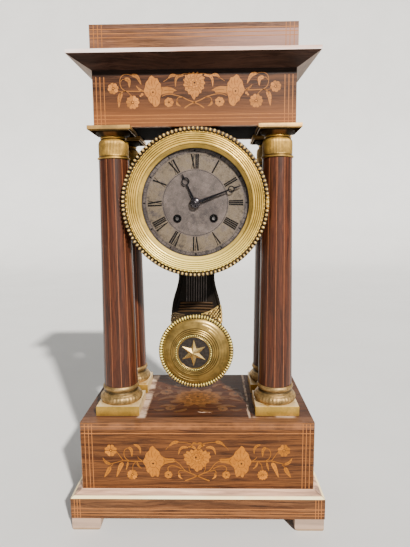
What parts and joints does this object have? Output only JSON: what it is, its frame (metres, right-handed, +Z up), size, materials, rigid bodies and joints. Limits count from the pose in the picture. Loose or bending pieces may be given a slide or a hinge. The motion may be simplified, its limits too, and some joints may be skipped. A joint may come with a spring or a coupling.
{
  "type": "pendulum clock",
  "caption": "Four-column wooden mantel clock with marquetry, a beaded brass bezel on a drum movement and a lyre pendulum that swings between the columns.",
  "frame": {"origin": "centre of the rectangle of the plinth, on the surface that the feet stand on", "axes": "+X to the right of someone who reads the dial, +Y towards the back, +Z up"},
  "size_m": [0.258, 0.158, 0.5026],
  "materials": {
    "rosewood": "waxed veneer with horizontal grain, satin",
    "pale_wood": "bare pale wood, matt",
    "oak": "raw carcass wood, matt",
    "aged_brass": "stamped gilt brass, rubbed and dull",
    "gilt_brass": "turned gilt brass, satin",
    "steel": "plain turned steel",
    "glass": "clear flat glass",
    "silvered_dial": "silvered brass, tarnished, matt",
    "blued_steel": "blued steel",
    "movement_brass": "grained brass",
    "bell_metal": "cast bell bronze",
    "silk": "silk thread"
  },
  "bodies": {
    "root": {"feet": "pale_wood", "plinth_rails": "rosewood", "bottom_board": "oak", "base_front_panel": "rosewood", "base_back_panel": "rosewood", "base_side_panels": "rosewood", "base_top_panel": "rosewood", "column_bases": "aged_brass", "column_front_left": "rosewood", "column_front_right": "rosewood", "column_rear_left": "rosewood", "column_rear_right": "rosewood", "column_capitals": "aged_brass", "tie_rods": "steel", "tie_rod_nuts": "steel", "soffit_board": "oak", "frieze_front_panel": "rosewood", "frieze_back_panel": "rosewood", "frieze_side_panels": "rosewood", "cornice_moulding": "rosewood", "attic_rails": "rosewood", "attic_top_board": "rosewood", "movement_drum": "aged_brass", "drum_saddle": "oak", "drum_front_ring": "aged_brass", "bezel_hinge_pin": "steel", "dial_plate": "silvered_dial", "rear_hinge_pin": "steel", "front_plate": "movement_brass", "back_plate": "movement_brass", "plate_pillars": "movement_brass", "bell": "bell_metal", "bell_stand": "movement_brass", "pendulum_cock": "movement_brass"},
    "bezel": {"bezel_ring": "gilt_brass", "bezel_glass": "glass"},
    "rear_cover": {"rear_door": "aged_brass"},
    "minute": {"minute_hand": "blued_steel", "hand_collet": "blued_steel", "cannon_pinion": "movement_brass"},
    "hour": {"hour_hand": "blued_steel", "hour_wheel": "movement_brass"},
    "minute_wheel": {"minute_wheel": "movement_brass"},
    "escape_wheel": {"escape_wheel": "movement_brass"},
    "third_wheel": {"third_wheel": "movement_brass"},
    "centre_wheel": {"centre_wheel": "movement_brass"},
    "intermediate_wheel": {"intermediate_wheel": "movement_brass"},
    "going_barrel": {"going_barrel": "movement_brass"},
    "pendulum": {"suspension_silk": "silk", "pendulum_rod": "steel", "lyre": "aged_brass", "bob_shell": "gilt_brass", "bob_star": "gilt_brass"},
    "anchor": {"anchor": "steel"},
    "fly": {"fly": "movement_brass"},
    "pin_wheel": {"pin_wheel": "movement_brass"},
    "strike_barrel": {"strike_barrel": "movement_brass"},
    "hammer": {"hammer": "steel"},
    "going_winding": {"going_winding_arbor": "steel"},
    "strike_winding": {"strike_winding_arbor": "steel"}
  },
  "joints": [
    {"name": "bezel_hinge", "type": "hinge", "parent": "root", "child": "bezel", "pos_m": [0.0723, -0.0479, 0.3315], "axis": [0, 0, 1], "range_deg": [0, 95]},
    {"name": "rear_door_hinge", "type": "hinge", "parent": "root", "child": "rear_cover", "pos_m": [-0.0606, 0.0432, 0.3315], "axis": [0, 0, 1], "range_deg": [0, 100]},
    {"name": "minute_hand_turn", "type": "hinge", "parent": "root", "child": "minute", "pos_m": [0, 0, 0.3315], "axis": [0, 1, 0], "continuous": true},
    {"name": "hour_hand_turn", "type": "hinge", "parent": "root", "child": "hour", "pos_m": [0, 0, 0.3315], "axis": [0, 1, 0], "continuous": true},
    {"name": "minute_wheel_turn", "type": "hinge", "parent": "root", "child": "minute_wheel", "pos_m": [0.00713, 0, 0.33863], "axis": [0, 1, 0], "continuous": true},
    {"name": "escape_wheel_turn", "type": "hinge", "parent": "root", "child": "escape_wheel", "pos_m": [0, 0, 0.348], "axis": [0, 1, 0], "continuous": true},
    {"name": "third_wheel_turn", "type": "hinge", "parent": "root", "child": "third_wheel", "pos_m": [-0.0105, 0, 0.34159], "axis": [0, 1, 0], "continuous": true},
    {"name": "centre_wheel_turn", "type": "hinge", "parent": "root", "child": "centre_wheel", "pos_m": [0, 0, 0.3315], "axis": [0, 1, 0], "continuous": true},
    {"name": "intermediate_wheel_turn", "type": "hinge", "parent": "root", "child": "intermediate_wheel", "pos_m": [0.0155, 0, 0.3362], "axis": [0, 1, 0], "continuous": true},
    {"name": "going_barrel_turn", "type": "hinge", "parent": "root", "child": "going_barrel", "pos_m": [0.0185, 0, 0.3159], "axis": [0, 1, 0], "continuous": true},
    {"name": "pendulum_swing", "type": "hinge", "parent": "root", "child": "pendulum", "pos_m": [0, 0, 0.3615], "axis": [0, 1, 0], "range_deg": [-6, 4]},
    {"name": "anchor_rock", "type": "hinge", "parent": "root", "child": "anchor", "pos_m": [0, 0, 0.3615], "axis": [0, 1, 0], "range_deg": [-6, 4]},
    {"name": "fly_turn", "type": "hinge", "parent": "root", "child": "fly", "pos_m": [-0.03671, 0, 0.34269], "axis": [0, 1, 0], "continuous": true},
    {"name": "pin_wheel_turn", "type": "hinge", "parent": "root", "child": "pin_wheel", "pos_m": [-0.029, 0, 0.3335], "axis": [0, 1, 0], "continuous": true},
    {"name": "strike_barrel_turn", "type": "hinge", "parent": "root", "child": "strike_barrel", "pos_m": [-0.0185, 0, 0.3159], "axis": [0, 1, 0], "continuous": true},
    {"name": "hammer_lift", "type": "hinge", "parent": "root", "child": "hammer", "pos_m": [-0.024, 0, 0.3555], "axis": [0, 1, 0], "range_deg": [0, 12], "stiffness_Nm_per_rad": 0.004, "springref_deg": -20.05},
    {"name": "going_winding_turn", "type": "hinge", "parent": "root", "child": "going_winding", "pos_m": [0.0185, 0, 0.3159], "axis": [0, 1, 0], "range_deg": [0, 2160]},
    {"name": "strike_winding_turn", "type": "hinge", "parent": "root", "child": "strike_winding", "pos_m": [-0.0185, 0, 0.3159], "axis": [0, 1, 0], "range_deg": [0, 2160]}
  ],
  "couplings": [
    {"joint": "hour_hand_turn", "follows": "minute_hand_turn", "ratio": 0.083333},
    {"joint": "minute_wheel_turn", "follows": "minute_hand_turn", "ratio": -0.33333},
    {"joint": "third_wheel_turn", "follows": "escape_wheel_turn", "ratio": -0.089744},
    {"joint": "centre_wheel_turn", "follows": "escape_wheel_turn", "ratio": 0.0074786},
    {"joint": "intermediate_wheel_turn", "follows": "escape_wheel_turn", "ratio": -0.0014957},
    {"joint": "going_barrel_turn", "follows": "escape_wheel_turn", "ratio": 0.00028045},
    {"joint": "anchor_rock", "follows": "pendulum_swing", "ratio": 1},
    {"joint": "pin_wheel_turn", "follows": "fly_turn", "ratio": -0.2},
    {"joint": "strike_barrel_turn", "follows": "fly_turn", "ratio": 0.0375}
  ]
}
